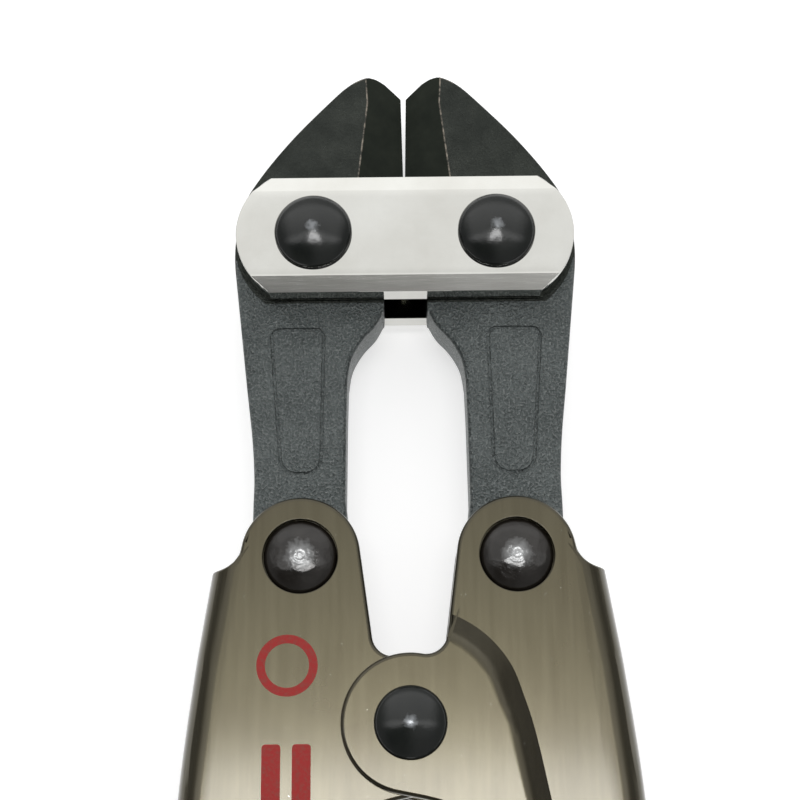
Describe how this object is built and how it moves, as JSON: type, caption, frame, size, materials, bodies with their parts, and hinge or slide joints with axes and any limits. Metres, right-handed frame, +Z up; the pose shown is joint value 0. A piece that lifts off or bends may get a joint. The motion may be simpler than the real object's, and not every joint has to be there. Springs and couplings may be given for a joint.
{
  "type": "mini bolt cutters",
  "caption": "Compact compound-lever bolt cutters with forged jaws, link plates and pressed channel handles with dipped grips.",
  "frame": {"origin": "under the middle of the tool, on the surface it lies on", "axes": "+Y towards the jaws, +X to the right seen from the front, +Z up from the surface"},
  "size_m": [0.0706, 0.2086, 0.0232],
  "materials": {
    "plate_chrome": "polished",
    "rivet_black": "blackened, semi gloss",
    "blade_black": "black forged, fine grain",
    "handle_bronze": "olive bronze plating, satin",
    "grip_vinyl": "dipped vinyl",
    "spring_steel": "bright"
  },
  "bodies": {
    "head": {"link_plate_front": "plate_chrome", "link_plate_rear": "plate_chrome", "blade_rivet_left": "rivet_black", "blade_rivet_right": "rivet_black"},
    "blade_left": {"blade_left": "blade_black"},
    "blade_right": {"blade_right": "blade_black"},
    "handle_right": {"handle_right": "handle_bronze", "grip_right": "grip_vinyl", "arm_rivet_right": "rivet_black", "pivot_rivet": "rivet_black", "pivot_sleeve": "spring_steel", "opening_spring": "spring_steel", "latch_rivet": "rivet_black", "latch_spacer_front": "spring_steel", "latch_spacer_rear": "spring_steel"},
    "handle_left": {"handle_left": "handle_bronze", "grip_left": "grip_vinyl", "arm_rivet_left": "rivet_black", "latch_catch_pin": "rivet_black"},
    "latch": {"latch": "spring_steel"}
  },
  "joints": [
    {"name": "blade_left_pivot", "type": "hinge", "parent": "head", "child": "blade_left", "pos_m": [-0.01375, 0.0759, 0.0116], "axis": [0, 0, 1], "range_deg": [0, 7.8]},
    {"name": "blade_right_pivot", "type": "hinge", "parent": "head", "child": "blade_right", "pos_m": [0.01375, 0.0759, 0.0116], "axis": [0, 0, -1], "range_deg": [0, 7.8]},
    {"name": "arm_pivot_right", "type": "hinge", "parent": "blade_right", "child": "handle_right", "pos_m": [0.0155, 0.0272, 0.0116], "axis": [0, 0, 1], "range_deg": [0, 22.8]},
    {"name": "handle_pivot", "type": "hinge", "parent": "handle_right", "child": "handle_left", "pos_m": [0, 0.0035, 0.0116], "axis": [0, 0, -1], "range_deg": [0, 30], "deforming": ["opening_spring"]},
    {"name": "latch_hinge", "type": "hinge", "parent": "handle_right", "child": "latch", "pos_m": [0.013, -0.014, 0.0116], "axis": [0, 0, -1], "range_deg": [0, 104]}
  ],
  "couplings": [
    {"joint": "blade_left_pivot", "follows": "handle_pivot", "ratio": 0.2585},
    {"joint": "blade_right_pivot", "follows": "handle_pivot", "ratio": 0.2585},
    {"joint": "arm_pivot_right", "follows": "handle_pivot", "ratio": 0.7585}
  ]
}
